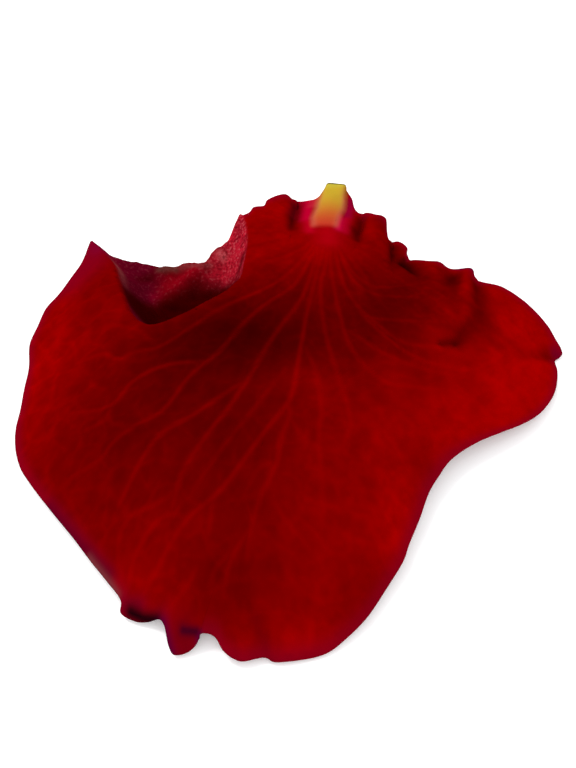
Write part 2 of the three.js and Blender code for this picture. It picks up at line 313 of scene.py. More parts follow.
# The claw's pale flesh in rows from the blade to the cut end: y, and x of its left and right edges.
CLAW_FLESH = [
    (18.6, 2.3, 4.7),
    (21.0, 2.35, 5.2),
    (23.3, 2.85, 5.8),
    (25.1, 3.1, 6.05),
    (27.5, 3.6, 6.3),
    (29.0, 4.0, 6.5),
]

# The veins, from the claw outwards: how plain each one is, and its line in plan.
VEINS = {
    "far left": (
        0.9,
        [
            (2.4, 15.5), (1.1, 12.7), (-0.4, 10.2), (-1.9, 8.6), (-4.9, 6.6), (-8.1, 3.7),
            (-10.2, 2.3), (-12.2, 2.3), (-14.1, 1.5),
        ],
    ),
    "far left fork": (0.8, [(-12.2, 2.3), (-13.4, 1.9), (-14.8, 2.9), (-17.3, 2.6)]),
    "shoulder loop": (0.5, [(-10.2, 2.4), (-12.6, 4.8), (-14.8, 5.5), (-15.8, 4.4), (-15.6, 3.3)]),
    "left": (
        1,
        [
            (2.7, 15.1), (1.8, 12.6), (0.5, 9.1), (-1.9, 6.4), (-3.3, 4.6), (-5.3, 1.1),
            (-7.3, -0.9), (-9.1, -3.8), (-10.9, -4.5), (-12.6, -5.6), (-13.2, -6.5), (-15.5, -7.4),
        ],
    ),
    "left upper fork": (
        0.9,
        [
            (-6.0, 0.2), (-9.1, 0.5), (-11.8, -0.6), (-13.2, -2.4), (-16.5, -2.2),
        ],
    ),
    "left link": (0.5, [(-13.2, -2.4), (-13.2, -3.6), (-11.4, -4.6)]),
    "left twig": (0.5, [(-13.2, -3.6), (-15.2, -4.0)]),
    "near left": (
        1,
        [
            (2.8, 14.5), (2.2, 11.7), (1.1, 7.2), (-1.2, 2.5), (-2.7, -1.2), (-4.1, -4.0),
            (-5.7, -6.3), (-7.1, -8.6), (-7.6, -10.7),
        ],
    ),
    "near left fork": (
        0.9,
        [
            (-3.2, -1.9), (-4.5, -2.9), (-6.7, -4.4), (-9.0, -5.6), (-10.4, -7.7), (-11.2, -9.5),
            (-11.5, -10.1),
        ],
    ),
    "near left twig": (
        0.6,
        [
            (-7.6, -9.8), (-9.1, -10.5), (-10.4, -10.8), (-11.1, -11.7), (-11.2, -13.2),
        ],
    ),
    "between": (0.5, [(-0.1, -0.6), (-1.9, -3.5), (-3.8, -6.3), (-5.8, -9.1), (-6.4, -10.1)]),
    "middle left": (
        1,
        [
            (3.3, 15.2), (2.7, 12.2), (1.5, 5.3), (0.8, 0.2), (0.1, -3.6), (-1.2, -5.6),
            (-2.4, -7.3), (-4.3, -9.8), (-6.6, -11.6), (-8.3, -14.1), (-9.1, -15.4),
        ],
    ),
    "middle left fork": (
        0.7,
        [
            (-6.6, -11.5), (-7.5, -11.1), (-8.5, -11.4), (-10.0, -13.4), (-10.2, -14.5),
        ],
    ),
    "middle left twig": (0.5, [(-5.0, -10.6), (-5.0, -11.8), (-5.2, -12.8)]),
    "front left twig": (0.6, [(-5.8, -14.4), (-6.4, -15.3), (-7.6, -16.5)]),
    "middle": (
        0.8,
        [
            (0.1, -3.3), (0.1, -5.0), (-0.5, -6.7), (-0.7, -8.2), (-1.9, -10.8), (-2.5, -13.0),
            (-2.5, -14.0),
        ],
    ),
    "middle twig": (0.5, [(0.1, -5.0), (0.6, -5.9), (1.2, -6.9), (0.8, -7.7)]),
    "middle left branch": (0.5, [(-0.7, -8.2), (-1.8, -8.6), (-2.9, -10.4)]),
    "middle front fork": (0.7, [(-2.5, -12.4), (-3.6, -13.9), (-4.1, -15.8)]),
    "middle front twig": (0.5, [(-3.7, -13.5), (-4.6, -14.4), (-4.9, -15.3)]),
    "front right twig": (0.5, [(-0.8, -10.9), (-0.1, -11.9), (1.5, -13.5)]),
    "near middle": (
        0.6,
        [
            (1.2, 1.7), (1.9, -0.5), (2.3, -4.3), (2.1, -6.0), (2.2, -9.6), (2.2, -12.0),
        ],
    ),
    "near right": (
        0.8,
        [
            (3.8, 16.2), (3.4, 12.4), (2.8, 9.2), (2.9, 3.3), (3.7, -1.5), (4.3, -4.0),
            (4.3, -5.3), (3.8, -6.7),
        ],
    ),
    "right": (
        0.8,
        [
            (4.0, 16.0), (3.8, 12.1), (4.2, 5.6), (5.0, 1.1), (7.0, -1.3), (8.3, -1.5),
            (12.7, -0.9),
        ],
    ),
    "right arc": (0.8, [(4.4, 16.1), (4.5, 12.2), (4.9, 9.0), (6.8, 5.0), (9.1, 2.7), (12.4, 2.9)]),
    "right low arc": (
        0.7,
        [
            (4.9, 9.0), (6.7, 4.5), (9.3, 1.6), (12.9, 1.0), (15.2, 1.7), (17.1, 3.2),
        ],
    ),
    "right lower arc": (0.6, [(4.8, 3.5), (7.0, 1.5), (10.2, 0.4), (13.4, 0.4)]),
    "right upper arc": (0.6, [(4.7, 15.2), (5.2, 11.7), (6.0, 9.7), (7.5, 8.5), (11.2, 8.6)]),
    "right middle arc": (0.6, [(5.1, 9.1), (6.6, 5.4), (8.6, 5.2), (12.9, 5.8)]),
    "right top arc": (0.5, [(4.9, 13.7), (6.1, 10.9), (7.6, 9.7), (11.6, 10.9)]),
    "claw left vein": (0.6, [(2.7, 17.1), (1.2, 14.8), (-0.6, 13.3), (-2.4, 12.1)]),
}

# Painted shade on broad places of the blade, or painted light below zero: middle, radii and depth.
BLADE_PAINTED_SHADE = {
    "under the dent": ((-3.7, 3.6), (7.0, 4.0), 1.04),
    "middle": ((-2.0, 1.0), (11.0, 7.0), 0.65),
    "right shoulder": ((9.3, 8.0), (5.5, 4.5), 0.74),
    "right crimps": ((11.8, 13.2), (5.0, 4.0), 0.45),
    "behind the crease": ((15.9, 5.6), (2.0, 2.6), 0.45),
    "shoulder's hollow": ((16.8, 9.3), (1.2, 2.6), 0.35),
    "left": ((-11.0, -5.0), (7.0, 7.0), 0.6),
    "left lobe": ((-16.7, 10.5), (2.5, 4.0), 0.4),
    "front": ((-3.5, -14.5), (3.5, 6.0), 0.43),
    "fan": ((-1.0, 9.8), (5.0, 3.0), 0.42),
    "right lobe": ((18.5, 3.0), (8.0, 6.0), -0.5),
    "right lobe, front": ((13.5, -3.0), (5.0, 2.5), -0.35),
    "right front": ((7.5, -7.0), (5.0, 7.0), -0.18),
    "front edge": ((8.7, -10.5), (1.8, 2.6), -0.27),
    "inside the front edge": ((6.0, -12.8), (1.8, 2.0), -0.2),
    "tip": ((-0.5, -18.3), (4.0, 1.6), -0.45),
    "near tip": ((4.5, -15.5), (2.5, 2.0), 0.15),
    "behind the tip": ((0.3, -15.6), (2.2, 1.2), -0.1),
    "left rim": ((-20.0, 5.5), (1.8, 6.0), -0.25),
    "crown": ((-1.0, -7.5), (4.0, 3.0), 0.2),
    "left of the crown": ((-4.2, -5.5), (3.0, 3.0), 0.22),
    "top of the crown": ((1.0, -1.7), (1.8, 1.8), -0.26),
    "right of the crown": ((7.5, 3.8), (3.0, 3.0), 0.28),
    "curled corner": ((-9.5, -15.3), (2.0, 1.5), -0.15),
}

# Painted shade on places of the dent's floor, or painted light below zero: line, half width,
# power of the fall beside it, and strength.
DENT_PAINTED_SHADE = {
    "hollow": (
        [(-12.9, 10.2), (-11.3, 10.8), (-9.5, 11.9), (-7.6, 12.3), (-6.6, 12.4)],
        2.4,
        6,
        1.0,
    ),
    "left patch": ([(-14.4, 15.1), (-13.4, 15.5)], 0.7, 2, 0.7),
    "valley": ([(-7.0, 17.2), (-7.0, 16.4)], 0.6, 2, 0.2),
    "right wall": ([(-4.1, 15.6), (-4.5, 14.4)], 0.4, 2, 0.75),
    "right wall's foot": ([(-5.9, 15.4), (-5.3, 14.6)], 0.6, 2, 0.2),
    "ridge": ([(-9.0, 16.2), (-11.0, 14.6), (-13.1, 13.7)], 0.7, 2, -0.45),
}

# Colour marks, the petal's own colours and painted shade, sheen and highlights as noted: colour,
# line in plan, half width and strength, painted in this order.
COLOUR_MARKS_AND_PAINTED_LIGHT = {
    "under the claw": ((0.43, 0.0, 0.005), [(3.9, 18.0), (3.8, 16.6)], 1.3, 0.8),
    "left wing, lower": ((0.48, 0.0, 0.013), [(2.1, 20.0), (2.1, 18.4)], 0.6, 0.9),
    "left wing": ((0.5, 0.0, 0.028), [(2.3, 25.3), (1.9, 21.0)], 0.65, 1.0),
    "left wing, upper": ((0.5, 0.015, 0.035), [(3.3, 26.8), (2.6, 24.0)], 0.5, 1.0),
    "right wing, lower": ((0.4, 0.0, 0.014), [(5.9, 21.5), (5.5, 18.6)], 0.5, 0.9),
    "right wing": ((0.3, 0.0, 0.027), [(6.7, 25.4), (6.0, 21.9)], 0.5, 1.0),
    "claw's right foot": ((0.58, 0.003, 0.05), [(5.25, 21.0), (4.9, 18.8)], 0.4, 0.9),
    # Painted shade in the left pleat, the right pocket and the small lobe's crease.
    "left pleat": ((0.05, 0.0, 0.0), [(0.35, 21.5), (0.3, 18.9)], 0.55, 0.65),
    "left pleat, upper": ((0.15, 0.0, 0.007), [(0.7, 24.6), (0.4, 22.0)], 0.5, 0.5),
    "right pocket": ((0.08, 0.0, 0.0), [(6.6, 19.6), (6.7, 17.6)], 0.55, 0.7),
    "small lobe's crease": ((0.04, 0.0, 0.0), [(10.9, 15.3), (11.3, 13.0)], 0.35, 0.6),
    "lobe's right edge": ((0.22, 0.03, 0.07), [(-18.6, 17.2), (-17.4, 16.3)], 0.35, 0.8),
    # Painted highlights on the dent's lips, and painted sheen on its right wall.
    "dent's grey lip": ((0.13, 0.04, 0.032), [(-12.7, 16.2), (-11.0, 16.15)], 0.3, 0.8),
    "dent's pink lip": (
        (0.24, 0.03, 0.035),
        [(-10.4, 16.3), (-9.4, 16.4), (-8.6, 16.1), (-7.7, 16.5)],
        0.35,
        0.8,
    ),
    "right wall's shine": ((0.5, 0.07, 0.085), [(-6.9, 18.0), (-6.3, 17.3)], 0.45, 0.7),
    # Painted shade along the folded margin, and painted sheen on the turned margin.
    "folded margin": (
        (0.12, 0.0, 0.014),
        [(-17.2, -9.1), (-14.0, -12.2), (-11.9, -14.1)],
        0.5,
        0.8,
    ),
    "turned margin": (
        (0.22, 0.04, 0.048),
        [(-13.4, -13.0), (-11.6, -14.8), (-11.1, -15.4)],
        0.3,
        0.9,
    ),
    "corner": ((0.2, 0.0, 0.014), [(-10.6, -15.9), (-9.5, -16.0)], 0.5, 0.7),
    # Painted shade in the corner's hollow.
    "corner hollow": (
        (0.015, 0.0005, 0.003),
        [(-10.1, -16.3), (-9.3, -16.65), (-8.3, -16.85)],
        0.4,
        1.0,
    ),
    "tab": ((0.19, 0.0, 0.005), [(-6.7, -17.7), (-6.3, -18.4)], 1.0, 0.8),
    "tab's left edge": ((0.1, 0.0, 0.03), [(-7.9, -17.1), (-7.3, -18.7)], 0.35, 0.9),
    "tab's right edge": ((0.15, 0.0, 0.045), [(-5.5, -17.8), (-5.5, -18.2)], 0.2, 0.8),
    # Painted shade at the tab's spot and in the notch.
    "tab's spot": ((0.04, 0.0, 0.012), [(-6.5, -17.55), (-5.7, -17.65)], 0.28, 0.9),
    "notch": ((0.14, 0.0, 0.004), [(-2.0, -17.0), (-1.1, -19.2)], 0.35, 0.2),
    "lobe's tip": ((0.23, 0.0, 0.011), [(-18.5, 16.5), (-18.0, 14.2), (-19.6, 12.4)], 1.5, 0.75),
    "lobe's very tip": ((0.22, 0.001, 0.024), [(-18.6, 17.4), (-18.0, 15.6)], 0.8, 0.8),
    "right tip": ((0.2, 0.0, 0.02), [(23.9, 6.6), (24.6, 6.4)], 0.5, 0.7),
    "right shoulder's flap": ((0.13, 0.0, 0.035), [(16.3, 14.35), (17.15, 13.8)], 0.35, 0.9),
}


# ---------------------------------------------------------------- plane geometry
def smooth_curve(points, count_each, closed=False):
    """Centripetal Catmull-Rom curve through the points, with count_each samples to a segment."""
    points = np.array(points, float)
    if closed:
        padded = np.vstack([points[-1:], points, points[:2]])
    else:
        first, last = 2 * points[0] - points[1], 2 * points[-1] - points[-2]
        padded = np.vstack([first[None], points, last[None]])
    u = (np.arange(count_each) / count_each)[:, None]
    samples = []
    for p0, p1, p2, p3 in zip(padded, padded[1:], padded[2:], padded[3:]):
        d0, d1, d2 = (np.linalg.norm(b - a) ** 0.5 for a, b in ((p0, p1), (p1, p2), (p2, p3)))
        m1 = ((p1 - p0) / d0 - (p2 - p0) / (d0 + d1) + (p2 - p1) / d1) * d1
        m2 = ((p2 - p1) / d1 - (p3 - p1) / (d1 + d2) + (p3 - p2) / d2) * d1
        square, cube = -3 * p1 + 3 * p2 - 2 * m1 - m2, 2 * p1 - 2 * p2 + m1 + m2
        samples.append(p1 + m1 * u + square * u**2 + cube * u**3)
    samples = np.vstack(samples)
    return samples if closed else np.vstack([samples, points[-1:]])


def nearest_on_line(xy, line):
    """Distance of each plan point to a chain of segments, and how far along it the foot is."""
    line = np.array(line, float)
    best, place = np.full(len(xy), np.inf), np.zeros(len(xy))
    for number, (a, b) in enumerate(zip(line, line[1:])):
        span = b - a
        k = np.clip((xy - a) @ span / (span @ span), 0, 1)
        gap = np.linalg.norm(xy - a - k[:, None] * span, axis=1)
        place = np.where(gap < best, (number + k) / (len(line) - 1), place)
        best = np.minimum(best, gap)
    return best, place


def distance_to_line(xy, line):
    return nearest_on_line(xy, line)[0]


def beside(xy, line, half_width, power=2):
    """1 on the line, falling to 0 beside it."""
    return np.exp(-((distance_to_line(xy, line) / half_width) ** power))


def around(xy, middle, radii):
    """1 in the middle of a plan ellipse, falling to 0 outside it."""
    return np.exp(-(((xy - middle) / radii) ** 2).sum(axis=1))


def inside(xy, polygon):
    """True for each plan point inside the polygon."""
    found = np.zeros(len(xy), bool)
    x, y = xy.T
    for (x0, y0), (x1, y1) in zip(polygon, np.roll(polygon, -1, axis=0)):
        if y0 != y1:
            crossed = (y0 > y) != (y1 > y)
            found ^= crossed & (x < x0 + (x1 - x0) * (y - y0) / (y1 - y0))
    return found


def smoothstep(low, high, value):
    k = np.clip((value - low) / (high - low), 0, 1)
    return k * k * (3 - 2 * k)


def value_noise(xy, cell, seed):
    """Smooth random heights between -1 and 1, with bumps about one cell wide."""
    lattice = np.random.default_rng(seed).uniform(-1, 1, (LATTICE, LATTICE))
    p = xy / cell + LATTICE / 2
    corner = np.floor(p).astype(int)
    k = p - corner
    k = k * k * k * (k * (6 * k - 15) + 10)
    i, j = corner.T % LATTICE
    i2, j2 = (i + 1) % LATTICE, (j + 1) % LATTICE
    low = lattice[i, j] * (1 - k[:, 0]) + lattice[i2, j] * k[:, 0]
    high = lattice[i, j2] * (1 - k[:, 0]) + lattice[i2, j2] * k[:, 0]
    return low * (1 - k[:, 1]) + high * k[:, 1]


def bumps(xy, layers):
    """Random bumps of several sizes, added up."""
    return sum(height * value_noise(xy, size, seed) for size, height, seed in layers)


def cell_edges(xy, seed):
    """1 on the edges of an irregular network of cells one unit wide, falling to 0 inside them."""
    jitter = np.random.default_rng(seed).uniform(*CELL_JITTER, (LATTICE, LATTICE, 2))
    home = np.floor(xy).astype(int)
    first, second = np.full(len(xy), np.inf), np.full(len(xy), np.inf)
    for step in np.ndindex(3, 3):
        cell = home + step - 1
        i, j = cell.T % LATTICE
        gap = np.linalg.norm(cell + jitter[i, j] - xy, axis=1)
        second = np.minimum(second, np.maximum(first, gap))
        first = np.minimum(first, gap)
    return np.exp(-(((second - first) / CELL_EDGE) ** 2))


# ---------------------------------------------------------------- the sheet
CREST_LINE = smooth_curve(DENT_CREST, LINE_SAMPLES)
DENT_REGION = np.vstack([CREST_LINE, np.array(DENT_OUTSIDE, float)])


def margin_rays():
    """Margin points of the mesh rays, closer together where the margin is finely crimped."""
    rows = [row for stretch in MARGIN.values() for row in stretch]
    fine = smooth_curve(rows, MARGIN_SAMPLES, closed=True)
    steps = np.linalg.norm(np.roll(fine, -1, axis=0) - fine, axis=1)
    share = (steps / steps.sum() + 1 / len(fine)) / 2
    pace = np.concatenate([[0], np.cumsum(share)])
    wanted = np.arange(RAYS) / RAYS
    ring = np.vstack([fine, fine[:1]])
    return np.stack([np.interp(wanted, pace, ring[:, k]) for k in range(3)], axis=1)


def dome_height(xy, rim, step):
    """The blade without crimps: it falls from the crown to the broad lie of the margin."""
    crown = np.array(CROWN[:2])
    bearing = np.degrees(np.arctan2(*(rim[:, :2] - crown).T[::-1]))
    reach = np.linalg.norm(rim[:, :2] - crown, axis=1)
    compass = np.linspace(-180, 180, 721)  # every half degree
    apart = (compass[:, None] - bearing + 180) % 360 - 180
    share = np.exp(-((apart / CRIMP_SPREAD) ** 2)) * step
    share /= share.sum(axis=1, keepdims=True)
    direction = np.degrees(np.arctan2(*(xy - crown).T[::-1]))
    lie = np.interp(direction, compass, share @ rim[:, 2])
    far = np.interp(direction, compass, share @ reach)
    outward = np.linalg.norm(xy - crown, axis=1) / far
    return CROWN[2] + (lie - CROWN[2]) * outward**DOME_POWER


def crimp_height(xy, rim, step):
    """The margin's crimps, widening and fading into the blade."""
    crimps = rim[:, 2] - dome_height(rim[:, :2], rim, step)
    heights = []
    for part in np.array_split(xy, RIM_BATCHES):
        gaps = np.linalg.norm(part[:, None] - rim[None, :, :2], axis=2)
        inset = gaps.min(axis=1)
        blur = CRIMP_BLUR[0] + CRIMP_BLUR[1] * inset
        share = np.exp(-((gaps / blur[:, None]) ** 2)) * step
        heights.append(share @ crimps / share.sum(axis=1) * np.exp(-inset / CRIMP_REACH))
    return np.concatenate(heights)


def fan_grid():
    """Ray number and place along the ray for each vertex, the triangles, and the margin's loop."""
    ray, along, triangles = [], [], []

    def ring(t, step):
        numbers = np.arange(0, RAYS, step)
        start = sum(map(len, ray))
        ray.append(numbers)
        along.append(np.full(len(numbers), t))
        return start + np.arange(len(numbers))

    def add(*corners):
        triangles.extend(np.stack(three, 1) for three in corners)

    outer = margin = ring(1.0, 1)
    for band, (start, end, count) in enumerate(BANDS):
        for k in range(1, count + 1):
            last = k == count and band < len(BANDS) - 1
            inner = ring(start + (end - start) * k / count, 2 ** (band + last))
            d = np.roll(inner, -1)
            if last:
                a, middle, b = outer[::2], outer[1::2], np.roll(outer[::2], -1)
                add((a, middle, inner), (middle, b, d), (inner, middle, d))
            else:
                b = np.roll(outer, -1)
                add((outer, b, inner), (b, d, inner))
            outer = inner
    centre = sum(map(len, ray))
    ray.append(np.array([0]))
    along.append(np.array([0.0]))
    add((outer, np.roll(outer, -1), np.full(len(outer), centre)))
    return np.concatenate(ray), np.concatenate(along), np.vstack(triangles), margin


def past_crest(xy):
    """How far each plan point is past the crest, towards the dent."""
    gap = distance_to_line(xy, CREST_LINE)
    return np.where(inside(xy, DENT_REGION), gap, -gap)


def dent_share(xy):
    """0 on the dome, rising to 1 on the floor of the dent, and the distance past the crest."""
    past = past_crest(xy)
    k = np.clip(past / DENT_WALL, 0, 1)
    return 1 - (1 - k) ** 2, past


def dent_floor(xy):
    """Height of the dent's floor: it rises backwards to its lip, with one ridge across it."""
    rise = np.maximum((xy - DENT_START) @ DENT_RISE, 0)
    rise += DENT_RIDGE_HEIGHT * beside(xy, DENT_RIDGE, DENT_RIDGE_HALF_WIDTH)
    rise += DENT_LIP_HEIGHT * smoothstep(*DENT_LIP, xy[:, 1])
    return DENT_LOWEST + rise + bumps(xy, DENT_BUMPS)


def folds(xy):
    """Height that the ridges and creases add, and the painted shade they add to the colour."""
    height, depth = np.zeros(len(xy)), np.zeros(len(xy))
    for a, b, rise, left_width, right_width, shade in FOLDS.values():
        (x0, y0), (x1, y1) = a, b
        left = (x1 - x0) * (xy[:, 1] - y0) - (y1 - y0) * (xy[:, 0] - x0) > 0
        width = np.where(left, left_width, right_width)
        gap, along = nearest_on_line(xy, (a, b))
        share = np.exp(-((gap / width) ** 2))
        share *= 1 - FOLD_FADE[1] * smoothstep(FOLD_FADE[0], 1.0, along)
        height += rise * share
        depth += shade * share
    return height, depth


def vein_strength(xy):
    """Up to 1 on a vein, falling to 0 beside it. Veins grow fainter outwards."""
    total = np.zeros(len(xy))
    for plain, points in VEINS.values():
        line = smooth_curve(points, LINE_SAMPLES)
        low, high = line.min(axis=0) - VEIN_SEARCH, line.max(axis=0) + VEIN_SEARCH
        close = np.all((xy > low) & (xy < high), axis=1)
        gap, along = nearest_on_line(xy[close], line)
        here = plain * (1 - VEIN_FADE * along**2) * (0.5 + 0.5 * smoothstep(0.0, VEIN_RISE, along))
        here *= np.exp(-((gap / VEIN_HALF_WIDTH) ** 2))
        total[close] = np.maximum(total[close], here)
    return total


def drawn_to_crest(xy, reach):
    """Moves the plan points beside the crest on to it, so that it is one clean edge: along their
    rays where the rays cross it, and straight to it where they run beside it."""
    outward = xy - CROWN[:2]
    outward /= np.maximum(np.linalg.norm(outward, axis=1, keepdims=True), TINY)
    past, ahead = past_crest(xy), past_crest(xy + CREST_PROBE * outward)
    rate = (ahead - past) / CREST_PROBE
    crossing = np.abs(rate) > CREST_CROSSING
    along = -past / np.where(crossing, rate, 1.0)
    along *= crossing & (np.abs(along) <= RING_STEP / 2 * reach)
    xy = xy + along[:, None] * outward
    near = np.flatnonzero(~crossing & (np.abs(past) < CREST_PULL))
    start = xy[near]
    moved, best = start, np.full(len(near), np.inf)
    for a, b in zip(CREST_LINE, CREST_LINE[1:]):
        k = np.clip((start - a) @ (b - a) / ((b - a) @ (b - a)), 0, 1)
        foot = a + k[:, None] * (b - a)
        gap = np.linalg.norm(start - foot, axis=1)
        moved = np.where((gap < best)[:, None], foot, moved)
        best = np.minimum(best, gap)
    xy[near] = moved
    return xy


def sheet():
    """The petal's middle surface, with what the colours need to know about each vertex."""
    rim = margin_rays()
    step = np.linalg.norm(np.roll(rim, -1, axis=0) - np.roll(rim, 1, axis=0), axis=1)
    ray, t, triangles, margin = fan_grid()
    crown = np.array(CROWN[:2])
    xy = crown + (rim[ray, :2] - crown) * t[:, None]
    reach = np.linalg.norm(rim[ray, :2] - crown, axis=1)
    within = slice(len(margin), None)  # all but the margin itself
    xy[within] = drawn_to_crest(xy[within], reach[within])
    inset = (1 - t) * reach
    veins = vein_strength(xy)
    rise, depth = folds(xy)
    folded = dome_height(xy, rim, step) + crimp_height(xy, rim, step) + rise
    folded += VEIN_HEIGHT * veins + bumps(xy, BLADE_BUMPS)
    share, past = dent_share(xy)
    height = folded + (dent_floor(xy) - folded) * share
    points = np.column_stack([xy, height])
    return points, triangles, margin, {"inset": inset, "veins": veins, "past": past, "depth": depth}


def vertex_normals(points, triangles):
    a, b, c = (points[triangles[:, k]] for k in range(3))
    facing = np.cross(b - a, c - a)
    normals = np.zeros_like(points)
    for k in range(3):
        np.add.at(normals, triangles[:, k], facing)
    return normals / np.linalg.norm(normals, axis=1, keepdims=True)


def claw_place(xy):
    """How far along the claw a plan point is, and how far across it: 1 at its edge."""
    start, end = np.array(CLAW_AXIS)
    length = np.linalg.norm(end - start)
    along = (xy - start) @ (end - start) / length**2
    half_width = CLAW_HALF_WIDTHS[0] + (CLAW_HALF_WIDTHS[1] - CLAW_HALF_WIDTHS[0]) * along
    across = (xy - start) @ np.array([end[1] - start[1], start[0] - end[0]]) / length
    return along, across / half_width


def thickness(xy, inset):
    """The blade's thickness, thinner at the margin, with the claw's swelling added."""
    along, across = claw_place(xy)
    squareness = CLAW_SQUARENESS[0] + CLAW_SQUARENESS[1] * smoothstep(*CLAW_SQUARED, along)
    swelling = np.maximum(1 - np.abs(across) ** squareness, 0) * smoothstep(*CLAW_SWELLS, along)
    filled = 1 - np.exp(-inset / EDGE_TAPER)
    blade = EDGE_THICKNESS + (BLADE_THICKNESS - EDGE_THICKNESS) * filled
    return blade + (CLAW_THICKNESS - BLADE_THICKNESS) * swelling


# ---------------------------------------------------------------- colours
BLADE_RED = np.array([0.265, 0.0, 0.0])
VEIN_RED = np.array([0.37, 0.0, 0.0])
RIM_CRIMSON = np.array([0.27, 0.0003, 0.0125])
DENT_PURPLE = np.array([0.14, 0.0005, 0.013])
DENT_ROSE = np.array([0.19, 0.0005, 0.005])
# The dent's pink is partly painted sheen, its glint a painted highlight, the hollow red painted
# shade, also in the grain's pits, and the crest grey painted sheen.
DENT_PINK_SHEEN = np.array([0.48, 0.01, 0.028])
DENT_GLINT = np.array([0.6, 0.12, 0.14])
PAINTED_SHADE_RED = np.array([0.05, 0.0, 0.0])
CREST_SHEEN_GREY = np.array([0.28, 0.05, 0.05])
CLAW_ORANGE = np.array([0.57, 0.04, 0.022])
CLAW_PEACH = np.array([0.62, 0.15, 0.09])
CLAW_YELLOW = np.array([0.56, 0.39, 0.03])
CLAW_TOP = np.array([0.58, 0.48, 0.05])
CUT_OLIVE = np.array([0.08, 0.07, 0.015])

# The blade's pattern. Sizes are in mm, and a fineness is in cells for each radian round the fan's
# centre and for each mm away from it. A pair of places is where the smooth change starts and ends.
# The mottle has layers of size, depth and seed.
MOTTLE = ((2.4, 0.1, 11), (0.9, 0.1, 12), (0.45, 0.06, 13), (0.3, 0.06, 18))
FAN_CENTRE = (3.9, 18.5)
FIBRE_FINENESS = (14.0, 0.12)
FIBRE_DEPTH = 0.12
FIBRE_SEED = 14
FIBRES_RISE = (2.0, 6.0)
FIBRES_FALL = (30.0, 14.0)
NETWORK_FINENESS = (11.0, 0.5)
NETWORK_DEPTH = 0.14
NETWORK_SEED = 21
NETWORK_RISE = (6.0, 12.0)
NETWORK_WARP_SIZE = 1.6
NETWORK_WARP = 0.25
NETWORK_WARP_SEEDS = (19, 20)
# The network's strength in the middle, what it gains on the left and loses on the right, and how
# soon it does.
NETWORK_SIDES = (0.55, 0.45, 2.0)
CRUMPLED = ((11.5, 9.0), (5.0, 4.5))  # the crumpled right shoulder: middle and radii
CRUMPLED_NETWORK = 0.9
CREASE_FINENESS = (24.0, 0.8)
CREASE_DEPTH = 0.12
CREASE_SEED = 22
FAINT_VEINS = ((1.5, 7.0), (4.5, 7.0))  # where the veins are fainter: middle and radii
FAINTNESS = 0.28
VEIN_PAINT = 0.85
VEIN_DEEPENING = 0.6  # how much of the blade's painted shade and pattern the veins share
RIM_WIDTH = 0.7
RIM_PAINT = 0.75

# The dent's pattern: the x over which its floor turns rose and pink with painted sheen, how pebbled
# it is on the left and how much more on the right, and the grey strip of painted sheen behind its
# left crest.
ROSE_FROM = (-14.0, -11.5)
PINK_SHEEN_FROM = (-9.2, -5.8)
PEBBLED = (0.2, 0.8)
DENT_MOTTLE_SIZE = 0.8
DENT_MOTTLE = 0.3
DENT_MOTTLE_SEED = 16
CREST_BLEND = 0.3  # how far past the crest the dent's colours are full
CREST_STRIP = [(-17.2, 15.8), (-16.7, 15.0), (-15.65, 13.3), (-14.8, 10.8)]
CREST_STRIP_HALF_WIDTH = 0.3
CREST_STRIP_PAINT = 0.8
GRAIN_SIZE = 0.28
# The grain's values where its painted pit shade and painted glints start and are deepest, and how
# strong they are then.
PITS = (0.48, 0.35, 0.55)
GLINTS = (0.55, 0.7, 0.45)

# The claw's pattern, by y: where the flesh begins, turns yellow, turns pale and is cut, and where
# its peach edges end. The cut and the edges also have a width.
FLESH_FROM = (18.6, 19.5)
YELLOW_FROM = (18.5, 27.0)
TOP_FROM = (27.0, 29.0)
CUT_FROM = (28.9, 29.1)
PEACH_UNTIL = (29.0, 25.0)
PEACH_WIDTH = 0.4
PEACH_PAINT = 0.7
FLESH_EDGE = (-0.4, 0.5)
CUT_EDGE = (0.5, 0.25)

SKIN_ROUGHNESS = 0.6
LIGHT_THROUGH = 0.35  # share of the light that the skin lets through


def blend(colour, other, share):
    return colour + (other - colour) * share[:, None]


def blade_colours(xy, facts):
    """Red, with painted shade deepest in the middle and painted light in places, lighter veins and
    a crimson rim.
    """
    from_claw = xy - FAN_CENTRE
    bearing = np.arctan2(from_claw[:, 0], -from_claw[:, 1])
    length = np.linalg.norm(from_claw, axis=1)
    crumpled = around(xy, *CRUMPLED)

    def fanned(fineness):
        return np.column_stack([bearing * fineness[0], length * fineness[1]])

    fibres = FIBRE_DEPTH * value_noise(fanned(FIBRE_FINENESS), 1.0, FIBRE_SEED)
    fibres *= smoothstep(*FIBRES_RISE, length) * smoothstep(*FIBRES_FALL, length)
    warp = [value_noise(xy, NETWORK_WARP_SIZE, seed) for seed in NETWORK_WARP_SEEDS]
    warped = fanned(NETWORK_FINENESS) + NETWORK_WARP * np.column_stack(warp)
    middle, side, pace = NETWORK_SIDES
    network = middle - side * np.tanh(pace * bearing) + CRUMPLED_NETWORK * crumpled
    network *= NETWORK_DEPTH * smoothstep(*NETWORK_RISE, length) * cell_edges(warped, NETWORK_SEED)
    creases = CREASE_DEPTH * crumpled * value_noise(fanned(CREASE_FINENESS), 1.0, CREASE_SEED)

    # Painted shade and light over the blade and in its folds, less the blade's own pattern.
    painted_shade_and_pattern = sum(depth * around(xy, middle, radii) for middle, radii, depth in BLADE_PAINTED_SHADE.values())
    painted_shade_and_pattern += facts["depth"] - bumps(xy, MOTTLE) - fibres - network - creases
    colour = BLADE_RED * np.exp(-painted_shade_and_pattern)[:, None]
    vein_colour = VEIN_RED * np.exp(-VEIN_DEEPENING * painted_shade_and_pattern)[:, None]
    plain = VEIN_PAINT * (1 - FAINTNESS * around(xy, *FAINT_VEINS))
    colour = blend(colour, vein_colour, plain * facts["veins"])
    return blend(colour, RIM_CRIMSON, RIM_PAINT * np.exp(-((facts["inset"] / RIM_WIDTH) ** 2)))


